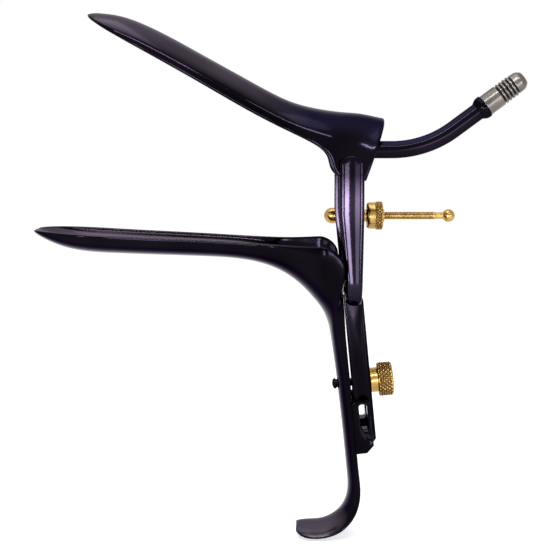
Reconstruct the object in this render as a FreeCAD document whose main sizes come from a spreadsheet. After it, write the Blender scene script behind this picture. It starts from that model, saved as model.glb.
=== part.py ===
import FreeCAD, Part
import math
import os

from FreeCAD import Placement, Rotation, Vector

# Bivalve speculum with a height-adjusted yoke and a smoke tube.
# Millimetres. +Z is up, -X points along the blades to their tips, and +Y is the user's right.
# The origin is the middle of the hinge axis, where the line of sight passes between the ears.

os.makedirs("parts", exist_ok=True)
doc = FreeCAD.newDocument("Speculum")
sheet = doc.addObject("Spreadsheet::Sheet", "Sizes")

# Driving dimensions, in millimetres and degrees.
sizes = {
    "sheetWall": 1.6,            # coated sheet of both blades
    "openAngle": 27.5,           # how far the upper blade stands open in this pose
    "leanAngle": 5.5,            # lean of the handle and the stem from upright
    "upperScale": 1.0,           # length factor of the upper blade ahead of the bell
    "lowerScale": 1.0,           # length factor of the lower blade ahead of the bell
    "earHalfWidth": 20.0,        # outer face of the upper blade's ears
    "pivotRadius": 1.75,         # journal of the hinge screws
    "runningClearance": 0.05,    # radial clearance of a turning fit
    "sideClearance": 0.4,        # between ear and yoke arm
    "armWall": 2.0,              # yoke arm
    "armFront": 4.0,             # arm's front edge ahead of the pivot
    "armRear": 4.8,              # arm's rear edge behind the pivot
    "armRearLow": 4.1,           # the same edge at the bow
    "armCrown": 3.0,             # arm's rounded top above the pivot
    "armBend": 18.0,             # below the pivot, where the front edge starts to lean
    "yokeDepth": 51.0,           # underside of the yoke's bow below the pivot
    "bowRadius": 9.0,            # outer corner radius of the bow
    "screwHeadRadius": 2.2,
    "screwHeadHeight": 1.1,
    "screwReach": 0.9,           # shank beyond the ear's inner face
    "lugWall": 1.8,              # rod lug bent out from the right arm
    "lugFront": 2.0,             # lug's front face ahead of the pivot
    "lugHalfHeight": 4.4,
    "rodSide": 29.0,             # rod axis from the middle plane
    "rodDrop": 21.4,             # rod axis below the pivot
    "rodRadius": 1.5,
    "rodLength": 42.0,
    "rodNeckRadius": 1.1,
    "rodNeckLength": 2.9,
    "acornRadius": 3.1,
    "acornLength": 5.7,
    "acornEnd": 1.2,             # closed end of the acorn nut beyond the rod
    "stopRadius": 2.5,           # ball at the rod's rear end
    "stopPinRadius": 0.6,
    "leverWall": 1.8,
    "leverGap": 0.3,             # between the arm's rear edge and the lever
    "leverHalfWidth": 5.6,
    "leverLength": 35.0,         # lever's lower end below the pivot
    "leverSlotLength": 10.6,
    "leverSlotStart": 19.4,
    "leverTop": 3.2,             # lever's upper edge above the pivot
    "leverNeck": 4.0,            # width of the lever where it stands on the ear
    "leverShoulder": 9.0,        # below the pivot, where the outer edge runs straight down
    "leverThroat": 4.4,          # below the pivot, lower end of the joint with the ear
    "slotClearance": 0.35,       # beside the rod and the stud in their slots
    "nutGap": 0.15,              # between a nut and what it clamps
    "angleBossRadius": 2.4,      # boss that rocks against the lever
    "angleBossLength": 1.8,
    "angleNoseRadius": 5.25,     # smooth disc behind the boss
    "angleNoseLength": 3.3,
    "angleNoseBevel": 1.2,
    "angleNutRadius": 5.6,
    "angleNutLength": 3.0,
    "angleRingRadius": 2.5,
    "angleRingLength": 0.6,
    "stemFront": 6.0,            # stem's open side, ahead of the slanted line through the pivot
    "stemDepth": 6.64,
    "stemHalfWidth": 8.0,
    "stemWall": 1.6,
    "stemLength": 105.0,         # stem's lower end below the pivot, along the lean
    "stemRound": 1.2,
    "stemChamfer": 3.8,
    "slotTop": 56.6,             # upper end of the stem's slot
    "slotBottom": 86.2,          # lower end of the stem's slot
    "studDrop": 81.0,            # height stud below the pivot, along the lean
    "studRadius": 1.5,
    "studHeadRadius": 2.0,
    "studHeadHeight": 1.5,
    "heightNeckRadius": 4.6,
    "heightNeckLength": 2.7,
    "heightNutRadius": 6.3,
    "heightNutLength": 5.6,
    "guideLength": 18.4,         # guides and window are set out from the stem's lower end
    "guideReach": 7.3,           # guide cheeks reach this far ahead of the slanted line
    "guideOuter": 12.9,
    "windowRise": 8.5,
    "windowLength": 9.4,
    "windowFront": 4.9,
    "windowRear": 1.9,
    "windowRound": 0.9,
    "guideMargin": 1.2,          # guides behind the window's rear edge
    "handleHalfWidth": 11.0,
    "guideClearance": 0.25,
    "tubeRadius": 3.2,
    "tubeBore": 2.4,
    "tubeStart": 76.0,           # tube's front end ahead of the pivot, along the closed blade
    "tubeStartHeight": 5.5,      # tube's axis above the pivot at its front end, blade closed
    "tubeBell": 34.0,            # ahead of the pivot, where the tube leaves the crown
    "tubeBellHeight": 4.75,      # tube's axis above the pivot there, blade closed
    "tubeRise": 4.8,             # level run of the tube above the pivot
    "tubeCorner": 28.7,          # where the level run and the slanted end would meet
    "tubeEndAngle": 36.5,
    "tubeEndLength": 26.9,       # from that corner to the tube's end
    "tubeBendFront": 16.0,
    "tubeBendRear": 38.0,
    "saddleFront": 66.0,         # saddles ahead of the pivot, blade closed
    "saddleRear": 34.0,
    "saddleWidth": 5.0,
    "saddleWall": 0.8,
    "collarRadius": 4.35,
    "collarLength": 3.6,
    "collarBevel": 0.7,
    "nippleRadius": 4.0,
    "nippleBore": 1.6,
    "nippleSleeve": 6.4,
    "capLength": 4.4,            # bevelled cap beyond the last groove
    "capRadius": 3.8,
    "capBevel": 1.5,
    "groovePitch": 1.45,
    "grooveDepth": 0.45,
    "grooveWidth": 0.6,
    "grooveCount": 5,
    "knurlCount": 40,
    "knurlDepth": 0.3,
    "knurlBevel": 0.45,
}
row = 1
for alias, amount in sizes.items():
    sheet.set("A%d" % row, alias)
    sheet.set("B%d" % row, str(amount))
    sheet.setAlias("B%d" % row, alias)
    row += 1
doc.recompute()


def size(alias):
    return float(sheet.get(alias))


made = []


def keep(thing, label):
    """Marks an object as a finished sub-part and gives it the label that names its file."""
    thing.Label = label
    made.append(thing)
    return thing


def fixedShape(name, shape, placement=Placement()):
    """A sub-part whose shape is worked out here, with its placement set after the shape."""
    thing = doc.addObject("Part::Feature", name)
    thing.Shape = shape
    thing.Placement = placement
    return keep(thing, name)


def turned(degrees):
    """A turn about the hinge axis."""
    return Placement(Vector(0, 0, 0), Rotation(Vector(0, 1, 0), degrees))


openPose = turned(size("openAngle"))
leanPose = turned(-size("leanAngle"))

# Pressed sheet forms.
# A blade is one surface: a fan of arched sections, each spanned between a point of the crown
# line in the middle plane and a point of the rim, which runs on both sides of the piece.
# A section is two cubics that meet level at the crown, and its control points run along
# smooth curves through the stations.


def sectionPoles(station):
    """Control points of an arched section, from rim to rim."""
    crownX, crownZ, rimX, rimZ, halfWidth, steepness = station
    half = ((1, 1), (1, 1 - steepness), (0.6, 0))
    poles = []
    for out, down in half + tuple((-out, down) for out, down in reversed(half)):
        poles.append(Vector(crownX + (rimX - crownX) * down, halfWidth * out, crownZ + (rimZ - crownZ) * down))
    return poles


def insetNet(net, wall):
    """The control points moved through the sheet, so that each leg between them keeps its distance.

    Where the sheet is nearly flat, at the tips, its edge stands square to the crown instead.
    """
    inset = []
    for i, line in enumerate(net):
        above, below = net[max(i - 1, 0)], net[min(i + 1, len(net) - 1)]
        legs = [(after - before).normalize() for before, after in zip(line, line[1:])]
        level = (below[2] - above[2]).cross(legs[2]).normalize()
        rise = abs((line[2] - line[0]).dot(level))
        steep = min(1.0, rise / (3 * abs(wall)))
        moved = []
        for j, point in enumerate(line):
            before, after = legs[max(j - 1, 0)], legs[min(j, len(legs) - 1)]
            normal = (below[j] - above[j]).cross(before + after).normalize()
            reach = 1 + (1 / math.cos(before.getAngle(after) / 2) - 1) * steep
            moved.append(point + (normal * steep + level * (1 - steep)).normalize() * (wall * reach))
        inset.append(moved)
    return inset


def netSurface(net, positions):
    """Surface on a net of control points: cubic across, and smooth through the stations."""
    poles = []
    for column in zip(*net):
        curve = Part.BSplineCurve()
        curve.interpolate(Points=list(column), Parameters=positions)
        poles.append(curve.getPoles())
    surface = Part.BSplineSurface()
    surface.buildFromPolesMultsKnots(
        poles, [4, 2, 4], curve.getMultiplicities(), [0, 1, 2], curve.getKnots(), False, False, 3, 3
    )
    return surface.toShape()


def sheetSolid(stations, wall):
    """Closed solid of a sheet: outer face, inner face and the four edges between them."""
    net = [sectionPoles(station) for station in stations]
    positions = [0.0]
    for before, after in zip(net, net[1:]):
        positions.append(positions[-1] + (after[1] - before[1]).Length + (after[2] - before[2]).Length)
    faces = [netSurface(points, positions) for points in (net, insetNet(net, wall))]
    edges = [
        Part.makeRuledSurface(outer, inner)
        for outer, inner in zip(faces[0].Edges, faces[1].Edges)
    ]
    shell = Part.Compound(faces + edges)
    shell.sewShape(0.01)
    solid = Part.makeSolid(shell.Shells[0])
    if solid.Volume < 0:
        solid.reverse()
    return solid


def lengthened(stations, factor, bell):
    """Stations ahead of the bell are moved along the blade by the length factor."""
    longer = []
    for crownX, crownZ, rimX, rimZ, halfWidth, steepness in stations:
        if crownX < bell:
            crownX = bell + (crownX - bell) * factor
        if rimX < bell:
            rimX = bell + (rimX - bell) * factor
        longer.append((crownX, crownZ, rimX, rimZ, halfWidth, steepness))
    return longer


# Upper blade, written in the closed position: crown x and z, rim x and z, half width, steepness.
ear = size("earHalfWidth")
upperStations = [
    (-108.8, 4.4, -108.8, 3.5, 4.0, 0.55),
    (-107.4, 5.5, -107.6, 3.1, 7.6, 0.55),
    (-104.0, 7.1, -104.4, 2.6, 11.6, 0.55),
    (-98.5, 9.0, -99.0, 2.1, 14.8, 0.55),
    (-90.5, 10.3, -90.5, 1.8, 16.8, 0.55),
    (-79.0, 10.7, -79.0, 1.5, 17.4, 0.55),
    (-64.0, 10.4, -64.0, 1.0, 16.8, 0.55),
    (-48.0, 10.0, -48.0, 0.3, 15.8, 0.55),
    (-37.0, 9.8, -36.0, 0.0, 15.6, 0.55),
    (-29.0, 10.2, -26.0, 0.1, ear - 3.6, 0.55),
    (-22.0, 11.6, -17.5, 0.3, ear - 1.6, 0.57),
    (-15.8, 13.5, -11.0, 0.0, ear - 0.3, 0.60),
    (-10.0, 15.7, -6.6, -1.9, ear, 0.62),
    (-5.0, 17.8, -3.6, -5.0, ear, 0.62),
    (-0.5, 19.2, 0.8, -6.4, ear, 0.62),
    (2.8, 20.1, 5.2, -5.0, ear, 0.62),
    (4.3, 20.6, 7.6, -2.5, ear, 0.62),
]


def hingeBore(clearance):
    """Cylinder across the piece on the hinge axis."""
    reach = size("earHalfWidth") + size("armWall") + 10
    radius = size("pivotRadius") + clearance
    return Part.makeCylinder(radius, 2 * reach, Vector(0, -reach, 0), Vector(0, 1, 0))


def upperBlade():
    stations = lengthened(upperStations, size("upperScale"), -37.0)
    solid = sheetSolid(stations, size("sheetWall"))
    return solid.cut(hingeBore(size("runningClearance")))


upperSolid = upperBlade()
fixedShape("upper_blade", upperSolid, openPose)

# Lower blade, bell, handle and hooked foot: one pressing.
# The crown line runs under the blade, down the front of the handle and over the foot.
grip = size("handleHalfWidth")
lowerStations = [
    (-115.0, -25.2, -115.0, -24.4, 4.0, 0.55),
    (-113.6, -26.2, -113.8, -24.3, 8.0, 0.55),
    (-110.5, -27.9, -110.8, -24.3, 12.2, 0.55),
    (-105.0, -30.3, -105.2, -24.5, 15.6, 0.55),
    (-97.0, -32.2, -97.0, -24.9, 17.6, 0.55),
    (-85.0, -33.1, -85.0, -25.6, 18.2, 0.55),
    (-69.0, -33.7, -69.0, -26.4, 17.6, 0.55),
    (-52.0, -34.3, -52.0, -27.2, 16.6, 0.55),
    (-39.0, -35.3, -38.0, -28.0, 16.4, 0.55),
    (-30.0, -37.3, -27.0, -28.6, 17.8, 0.56),
    (-22.6, -40.7, -18.5, -28.9, 20.8, 0.58),
    (-16.6, -45.4, -11.8, -28.9, 23.4, 0.62),
    (-12.0, -50.4, -7.0, -29.6, 24.8, 0.64),
    (-9.2, -54.3, -3.4, -32.6, 25.0, 0.62),
    (-7.6, -58.0, -2.0, -37.0, 24.9, 0.58),
    (-6.6, -62.0, -2.4, -43.5, 20.8, 0.55),
    (-5.9, -66.0, -1.8, -51.0, 16.4, 0.50),
    (-5.2, -70.5, -1.2, -59.0, grip + 2.2, 0.45),
    (-4.4, -76.0, -0.4, -68.5, grip + 0.4, 0.42),
    (-3.2, -86.0, 0.8, -82.0, grip, 0.40),
    (-1.5, -101.0, 2.5, -99.5, grip, 0.40),
    (-0.2, -114.0, 3.9, -114.5, grip, 0.40),
    (0.2, -120.0, 4.4, -121.0, grip, 0.40),
    (-0.5, -124.8, 3.2, -127.2, grip, 0.40),
    (-2.6, -128.9, 0.2, -132.2, grip - 0.2, 0.40),
    (-6.2, -131.9, -4.4, -135.8, grip - 0.6, 0.40),
    (-10.2, -133.3, -9.8, -137.2, grip - 1.4, 0.40),
    (-13.9, -133.3, -14.6, -136.6, grip - 2.8, 0.40),
    (-16.8, -132.3, -17.9, -134.7, grip - 4.8, 0.40),
    (-18.6, -131.3, -19.4, -132.6, grip - 7.6, 0.40),
]


def studAxis(radius, start, end):
    """Cylinder on the height stud's axis, square to the stem, between two depths."""
    shape = Part.makeCylinder(radius, end - start, Vector(start, 0, -size("studDrop")), Vector(1, 0, 0))
    shape.Placement = leanPose
    return shape


def lowerBlade():
    stations = lengthened(lowerStations, size("lowerScale"), -39.0)
    solid = sheetSolid(stations, -size("sheetWall"))
    return solid.cut(studAxis(size("studRadius") + size("runningClearance"), -16, 4))


lowerSolid = lowerBlade()
fixedShape("lower_blade", lowerSolid)


# Yoke: a bow of sheet whose arms rise to the hinge, with a channel stem behind the handle.

armInner = size("earHalfWidth") + size("sideClearance")
armOuter = armInner + size("armWall")
leanSlope = math.tan(math.radians(size("leanAngle")))


def prism(points, direction):
    """Straight solid on a closed outline."""
    outline = Part.makePolygon(points + [points[0]])
    return Part.Face(outline).extrude(direction)


def roundedBow(halfWidth, bottom, radius, front, rear, top):
    """Block that fills the bow's outline, with rounded lower corners."""
    block = Part.makeBox(rear - front, 2 * halfWidth, top - bottom, Vector(front, -halfWidth, bottom))
    corners = [
        edge for edge in block.Edges
        if abs(edge.CenterOfMass.z - bottom) < 0.01 and edge.Length > rear - front - 0.01
        and abs(abs(edge.CenterOfMass.y) - halfWidth) < 0.01
    ]
    return block.makeFillet(radius, corners)


def armProfile():
    """Side outline of the arms: rounded top, straight to the bend, then its front leans with the stem."""
    front, rear, rearLow = -size("armFront"), size("armRear"), size("armRearLow")
    bend, low = -size("armBend"), -size("yokeDepth") - 1
    lean = (bend - low) * leanSlope
    points = [
        Vector(front, 0, 0), Vector(front, 0, bend), Vector(front + lean, 0, low),
        Vector(rearLow, 0, low), Vector(rear, 0, bend), Vector(rear, 0, 0),
    ]
    sides = [Part.LineSegment(points[i], points[i + 1]).toShape() for i in range(5)]
    top = Vector((front + rear) / 2, 0, size("armCrown"))
    crown = Part.Arc(points[5], top, points[0]).toShape()
    face = Part.Face(Part.Wire(sides + [crown]))
    face.translate(Vector(0, -armOuter - 1, 0))
    return face.extrude(Vector(0, 2 * armOuter + 2, 0))


def stemChannel():
    """Channel, open to the front, with the long slot for the stud and a window in its sides."""
    front, wall = -size("stemFront"), size("stemWall")
    rear = front + size("stemDepth")
    half, bottom = size("stemHalfWidth"), -size("stemLength")
    top = -size("yokeDepth") + size("armWall")
    outside = Part.makeBox(rear - front, 2 * half, top - bottom, Vector(front, -half, bottom))
    corners = [
        edge for edge in outside.Edges
        if abs(edge.CenterOfMass.x - rear) < 0.01 and edge.Length > top - bottom - 0.01
    ]
    outside = outside.makeFillet(size("stemRound"), corners)
    hollow = Part.makeBox(
        rear - front - wall, 2 * (half - wall), top - bottom + 2, Vector(front, wall - half, bottom - 1)
    )
    cut = size("stemChamfer")
    slant = [
        Vector(rear + 1, 0, bottom - 1), Vector(rear + 1, 0, bottom + cut + 1),
        Vector(front + 1.5, 0, bottom - 1),
    ]
    foot = prism(slant, Vector(0, 2 * half + 12, 0))
    foot.translate(Vector(0, -half - 6, 0))
    return outside.cut(hollow), foot


def studSlot(reach):
    """Round-ended slot along the stem."""
    radius = size("studRadius") + size("slotClearance")
    top, bottom = -size("slotTop") - radius, -size("slotBottom") + radius
    ends = [Part.makeCylinder(radius, reach, Vector(-3, 0, z), Vector(1, 0, 0)) for z in (top, bottom)]
    middle = Part.makeBox(reach, 2 * radius, top - bottom, Vector(-3, -radius, bottom))
    return middle.fuse(ends)


def guideWindow():
    """Opening through both sides of the stem and its guides."""
    front, rear = -size("windowFront"), -size("windowRear")
    reach = size("guideOuter") + 2
    low = Vector(front, -reach, size("windowRise") - size("stemLength"))
    block = Part.makeBox(rear - front, 2 * reach, size("windowLength"), low)
    uprights = [edge for edge in block.Edges if edge.Length > 2 * reach - 0.01]
    return block.makeFillet(size("windowRound"), uprights)


def yokeFrame():
    # Both blocks reach well past the arms' side outline, which then trims them.
    reach = size("armRear") + 10
    bowOutside = roundedBow(armOuter, -size("yokeDepth"), size("bowRadius"), -reach, reach, reach)
    bowInside = roundedBow(
        armInner, -size("yokeDepth") + size("armWall"), size("bowRadius") - size("armWall"),
        -reach - 1, reach + 1, reach + 1,
    )
    bow = bowOutside.cut(bowInside).common(armProfile())
    channel, foot = stemChannel()
    stem = channel.cut(foot).cut(studSlot(8)).cut(guideWindow())
    stem.Placement = leanPose
    stem = stem.cut(bowInside)
    frame = bow.fuse([stem, rodLug()])
    return frame.cut(hingeBore(0.02)).removeSplitter()


def rodLug():
    """Ear bent out of the right arm, square to the rod."""
    front, half = -size("lugFront"), size("lugHalfHeight")
    inner, outer, level = armInner + 0.5, size("rodSide"), -size("rodDrop")
    wall = size("lugWall")
    arm = Part.makeBox(wall, outer - inner, 2 * half, Vector(front, inner, level - half))
    end = Part.makeCylinder(half, wall, Vector(front, outer, level), Vector(1, 0, 0))
    hole = Part.makeCylinder(size("rodRadius") + 0.02, 8, Vector(front - 3, outer, level), Vector(1, 0, 0))
    return arm.fuse(end).cut(hole)


fixedShape("yoke_frame", yokeFrame())


def stemGuides():
    """Two lugs on the stem's sides that run along the handle's edges."""
    shapes = []
    stemSide, outer = size("stemHalfWidth"), size("guideOuter")
    handleSide = size("handleHalfWidth") + size("guideClearance")
    bottom = -size("stemLength")
    top = bottom + size("guideLength")
    rear = -size("windowRear") + size("guideMargin")
    front = -size("stemFront")
    foot = stemChannel()[1]
    for side in (-1, 1):
        body = Part.makeBox(rear - front, outer - stemSide, top - bottom, Vector(front, stemSide, bottom))
        cheekLength = size("guideReach") - size("stemFront")
        cheek = Part.makeBox(
            cheekLength, outer - handleSide, top - bottom, Vector(front - cheekLength, handleSide, bottom)
        )
        lug = body.fuse(cheek).cut(guideWindow()).cut(foot).removeSplitter()
        shapes.append(lug if side > 0 else lug.mirror(Vector(0, 0, 0), Vector(0, 1, 0)))
    return Part.Compound(shapes)


fixedShape("stem_guides", stemGuides(), leanPose)


# Turned pieces made from bound primitives.

def turnedPiece(name, stages, base, axis, bores=()):
    """Stack of bound cylinders and cones along an axis, with bores cut through it.

    A stage is (kind, start, length, radius, end radius): each an expression in sheet aliases.
    """
    turn = Rotation(Vector(0, 0, 1), axis)
    parts = []
    for index, (kind, start, length, radius, endRadius) in enumerate(tuple(stages) + tuple(bores)):
        label = "%s_%s%d" % (name, kind, index)
        if kind == "cylinder":
            item = doc.addObject("Part::Cylinder", label)
            item.setExpression("Radius", radius)
            item.setExpression("Height", length)
        elif kind == "cone":
            item = doc.addObject("Part::Cone", label)
            item.setExpression("Radius1", radius)
            item.setExpression("Radius2", endRadius)
            item.setExpression("Height", length)
        else:
            item = doc.addObject("Part::Sphere", label)
            item.setExpression("Radius", radius)
            item.setExpression("Angle1", length)
            item.setExpression("Angle2", endRadius)
        item.setExpression("Placement.Base.z", start)
        parts.append(item)
    solid = doc.addObject("Part::MultiFuse", name + "_stack")
    solid.Shapes = parts[:len(stages)]
    if len(stages) == 1:
        solid = parts[0]
    if bores:
        holes = parts[len(stages)]
        if len(bores) > 1:
            holes = doc.addObject("Part::MultiFuse", name + "_bores")
            holes.Shapes = parts[len(stages):]
        bored = doc.addObject("Part::Cut", name)
        bored.Base = solid
        bored.Tool = holes
        solid = bored
    doc.recompute()
    solid.Placement = Placement(base, turn)
    return keep(solid, name)


across = Vector(0, 1, 0)
for label, side in (("hinge_screw_left", -1), ("hinge_screw_right", 1)):
    turnedPiece(
        label,
        [
            ("cylinder", "0 mm", "Sizes.armWall + Sizes.sideClearance + Sizes.sheetWall + Sizes.screwReach",
             "Sizes.pivotRadius", ""),
            ("cylinder", "-Sizes.screwHeadHeight * 0.55", "Sizes.screwHeadHeight * 0.55",
             "Sizes.screwHeadRadius", ""),
            ("cone", "-Sizes.screwHeadHeight", "Sizes.screwHeadHeight * 0.45",
             "Sizes.screwHeadRadius * 0.7", "Sizes.screwHeadRadius"),
        ],
        Vector(0, side * armOuter, 0),
        across * -side,
    )

rodLine = Vector(0, size("rodSide"), -size("rodDrop"))
lugFace = -size("lugFront")
rodStart = lugFace - size("acornLength") + size("acornEnd")

turnedPiece(
    "angle_rod",
    [
        ("cylinder", "0 mm", "Sizes.rodLength", "Sizes.rodRadius", ""),
        ("cylinder", "Sizes.rodLength", "Sizes.rodNeckLength + Sizes.stopRadius * 1.3",
         "Sizes.rodNeckRadius", ""),
    ],
    rodLine + Vector(rodStart, 0, 0),
    Vector(1, 0, 0),
)

turnedPiece(
    "rod_acorn_nut",
    [
        ("cylinder", "0 mm", "Sizes.acornLength - Sizes.acornRadius", "Sizes.acornRadius", ""),
        ("sphere", "Sizes.acornLength - Sizes.acornRadius", "0 deg", "Sizes.acornRadius", "90 deg"),
    ],
    rodLine + Vector(lugFace, 0, 0),
    Vector(-1, 0, 0),
    [("cylinder", "-0.5 mm", "Sizes.acornLength - Sizes.acornEnd + 0.5", "Sizes.rodRadius + 0.02", "")],
)

stopCentre = rodLine + Vector(rodStart + size("rodLength") + size("rodNeckLength") + size("stopRadius"), 0, 0)


def rodEndStop():
    """Ball on the rod's end, bored for the neck and cross-drilled for its pin."""
    ball = Part.makeSphere(size("stopRadius"), stopCentre)
    start = Vector(stopCentre.x - size("stopRadius") - 1, stopCentre.y, stopCentre.z)
    depth = 1 + size("stopRadius") * 1.3 + 0.05
    bore = Part.makeCylinder(size("rodNeckRadius") + 0.02, depth, start, Vector(1, 0, 0))
    cross = stopPinAxis(size("stopPinRadius") + 0.02, size("stopRadius") + 1)
    return ball.cut(bore).cut(cross)


def stopPinAxis(radius, reach):
    return Part.makeCylinder(radius, 2 * reach, stopCentre - across * reach, across)


fixedShape("rod_end_stop", rodEndStop())
neckShape = Part.makeCylinder(
    size("rodNeckRadius"), size("rodNeckLength") + size("stopRadius") * 1.3,
    rodLine + Vector(rodStart + size("rodLength"), 0, 0), Vector(1, 0, 0),
)
pinReach = math.sqrt(size("stopRadius") ** 2 - size("stopPinRadius") ** 2)
fixedShape("end_stop_pin", stopPinAxis(size("stopPinRadius"), pinReach).cut(neckShape))


def knurledDisc(radius, length, start):
    """Disc with bevelled rims and straight vee grooves round its edge."""
    count, depth = int(size("knurlCount")), size("knurlDepth")
    points = []
    for i in range(2 * count):
        reach = radius - depth * (i % 2)
        angle = math.pi * i / count
        points.append(Vector(reach * math.cos(angle), reach * math.sin(angle), start))
    disc = Part.makeCylinder(radius + 0.02, length, Vector(0, 0, start))
    rims = [edge for edge in disc.Edges if edge.Length > 2 * math.pi * radius]
    return disc.makeChamfer(size("knurlBevel"), rims).common(prism(points, Vector(0, 0, length)))


def angleNut():
    """Brass nut with a boss that rocks against the lever, a smooth disc and a knurled rim."""
    bossLength, noseRadius = size("angleBossLength"), size("angleNoseRadius")
    boss = Part.makeCylinder(size("angleBossRadius"), bossLength)
    nose = Part.makeCylinder(noseRadius, size("angleNoseLength"), Vector(0, 0, bossLength))
    front = [
        edge for edge in nose.Edges
        if abs(edge.CenterOfMass.z - bossLength) < 0.01 and abs(edge.Length - 2 * math.pi * noseRadius) < 0.01
    ]
    nose = nose.makeChamfer(size("angleNoseBevel"), front)
    start = bossLength + size("angleNoseLength")
    disc = knurledDisc(size("angleNutRadius"), size("angleNutLength"), start)
    end = start + size("angleNutLength")
    ring = Part.makeCylinder(size("angleRingRadius"), size("angleRingLength"), Vector(0, 0, end))
    bore = Part.makeCylinder(size("rodRadius") + size("runningClearance"), end + 4, Vector(0, 0, -1))
    return boss.fuse([nose, disc, ring]).cut(bore)


leverFront = size("armRear") + size("leverGap")
nutFace = leverFront + size("leverWall") + size("nutGap")
fixedShape(
    "angle_nut", angleNut(),
    Placement(rodLine + Vector(nutFace, 0, 0), Rotation(Vector(0, 0, 1), Vector(1, 0, 0))),
)


# Thumb lever: a plate behind the right arm, fixed to the upper blade's right ear, whose long
# slot the rod passes through. It is padded from a sketch and pocketed.

def thumbLever():
    body = doc.addObject("PartDesign::Body", "thumb_lever_body")
    plane = [item for item in body.Origin.OriginFeatures if item.Role == "YZ_Plane"][0]
    outline = body.newObject("Sketcher::SketchObject", "thumb_lever_outline")
    outline.AttachmentSupport = [(plane, "")]
    outline.MapMode = "FlatFace"
    inner, middle, half = size("earHalfWidth") + 0.05, size("rodSide"), size("leverHalfWidth")
    low, top, throat = -size("leverLength"), size("leverTop"), -size("leverThroat")
    neck, shoulder = size("leverNeck"), -size("leverShoulder")
    outer = middle + half
    corner = [
        Vector(inner, throat, 0), Vector(inner, top, 0), Vector(inner + neck, top, 0),
        Vector(outer, shoulder, 0), Vector(outer, low + half, 0), Vector(middle - half, low + half, 0),
        Vector(middle - half, shoulder - neck, 0),
    ]
    for start, end in ((0, 1), (1, 2), (2, 3), (3, 4), (5, 6), (6, 0)):
        outline.addGeometry(Part.LineSegment(corner[start], corner[end]))
    outline.addGeometry(Part.Arc(corner[4], Vector(middle, low, 0), corner[5]))
    pad = body.newObject("PartDesign::Pad", "thumb_lever_plate")
    pad.Profile = outline
    pad.setExpression("Length", "Sizes.leverWall")
    slot = body.newObject("Sketcher::SketchObject", "thumb_lever_slot")
    slot.AttachmentSupport = [(plane, "")]
    slot.MapMode = "FlatFace"
    reach = size("rodRadius") + size("slotClearance")
    upper = -size("leverSlotStart") - reach
    lower = -size("leverSlotStart") - size("leverSlotLength") + reach
    slot.addGeometry(Part.LineSegment(Vector(middle - reach, upper, 0), Vector(middle - reach, lower, 0)))
    slot.addGeometry(Part.LineSegment(Vector(middle + reach, lower, 0), Vector(middle + reach, upper, 0)))
    slot.addGeometry(Part.Arc(
        Vector(middle - reach, lower, 0), Vector(middle, lower - reach, 0), Vector(middle + reach, lower, 0)
    ))
    slot.addGeometry(Part.Arc(
        Vector(middle + reach, upper, 0), Vector(middle, upper + reach, 0), Vector(middle - reach, upper, 0)
    ))
    doc.recompute()
    solidVolume = pad.Shape.Volume
    pocket = body.newObject("PartDesign::Pocket", "thumb_lever_opening")
    pocket.Profile = slot
    pocket.Type = 1
    pocket.Midplane = True
    doc.recompute()
    if pocket.Shape.Volume > solidVolume - 1:
        raise RuntimeError("the lever's slot cuts nothing")
    body.setExpression("Placement.Base.x", "Sizes.armRear + Sizes.leverGap")
    doc.recompute()
    return keep(body, "thumb_lever")


thumbLever()


# Height stud and nut, square to the stem.

def heightStud():
    """Riveted stud: head in front of the handle, threaded shank through handle and stem."""
    head = -size("studHeadHeight")
    radius = size("studHeadRadius")
    cap = Part.makeCylinder(radius, size("studHeadHeight") * 0.6, Vector(0, 0, head * 0.6))
    dome = Part.makeCone(radius * 0.72, radius, size("studHeadHeight") * 0.4, Vector(0, 0, head))
    shank = Part.makeCylinder(size("studRadius"), studReach, Vector(0, 0, 0))
    return cap.fuse([dome, shank])


def handleCrown():
    """Depth of the handle's front face where the stud's head sits on it."""
    rim = lowerSolid.common(studAxis(size("studHeadRadius"), -size("stemFront") - 20, 0))
    rim.transformShape(leanPose.inverse().toMatrix())
    return rim.BoundBox.XMin - 0.02


stemRear = -size("stemFront") + size("stemDepth")
handleFront = handleCrown()
nutLength = size("heightNeckLength") + size("heightNutLength")
studReach = stemRear + size("nutGap") + nutLength - 0.6 - handleFront
towardsRear = Rotation(Vector(0, 0, 1), Vector(1, 0, 0))


def onStem(depth):
    """Placement on the stud's axis at a depth behind the slanted line, facing the rear."""
    return leanPose.multiply(Placement(Vector(depth, 0, -size("studDrop")), towardsRear))


fixedShape("height_stud", heightStud(), onStem(handleFront))


def heightNut():
    """Brass nut with a plain neck and a knurled rim."""
    neck = Part.makeCylinder(size("heightNeckRadius"), size("heightNeckLength"))
    disc = knurledDisc(size("heightNutRadius"), size("heightNutLength"), size("heightNeckLength"))
    bore = Part.makeCylinder(size("studRadius") + size("runningClearance"), nutLength + 2, Vector(0, 0, -1))
    return neck.fuse(disc).cut(bore)


fixedShape("height_nut", heightNut(), onStem(stemRear + size("nutGap")))


# Smoke tube under the crown of the upper blade, then level and up to the hose nipple.

def toWorld(x, z):
    return openPose.multVec(Vector(x, 0, z))


def tubeCorners():
    """Corner points of the tube's centre line at rest: three runs and two bends."""
    start = toWorld(-size("tubeStart"), size("tubeStartHeight"))
    under = toWorld(-size("tubeBell"), size("tubeBellHeight"))
    level = size("tubeRise")
    along = (level - start.z) / (under.z - start.z)
    first = start + (under - start) * along
    second = Vector(size("tubeCorner"), 0, level)
    angle = math.radians(size("tubeEndAngle"))
    end = second + Vector(math.cos(angle), 0, math.sin(angle)) * size("tubeEndLength")
    return start, first, second, end


def tubeSection(centre, heading):
    """Ring of the tube's wall, square to its heading."""
    rings = [
        Part.Wire(Part.makeCircle(radius, centre, heading))
        for radius in (size("tubeRadius"), size("tubeBore"))
    ]
    return Part.Face(rings[0]).cut(Part.Face(rings[1])).Faces[0]


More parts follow.
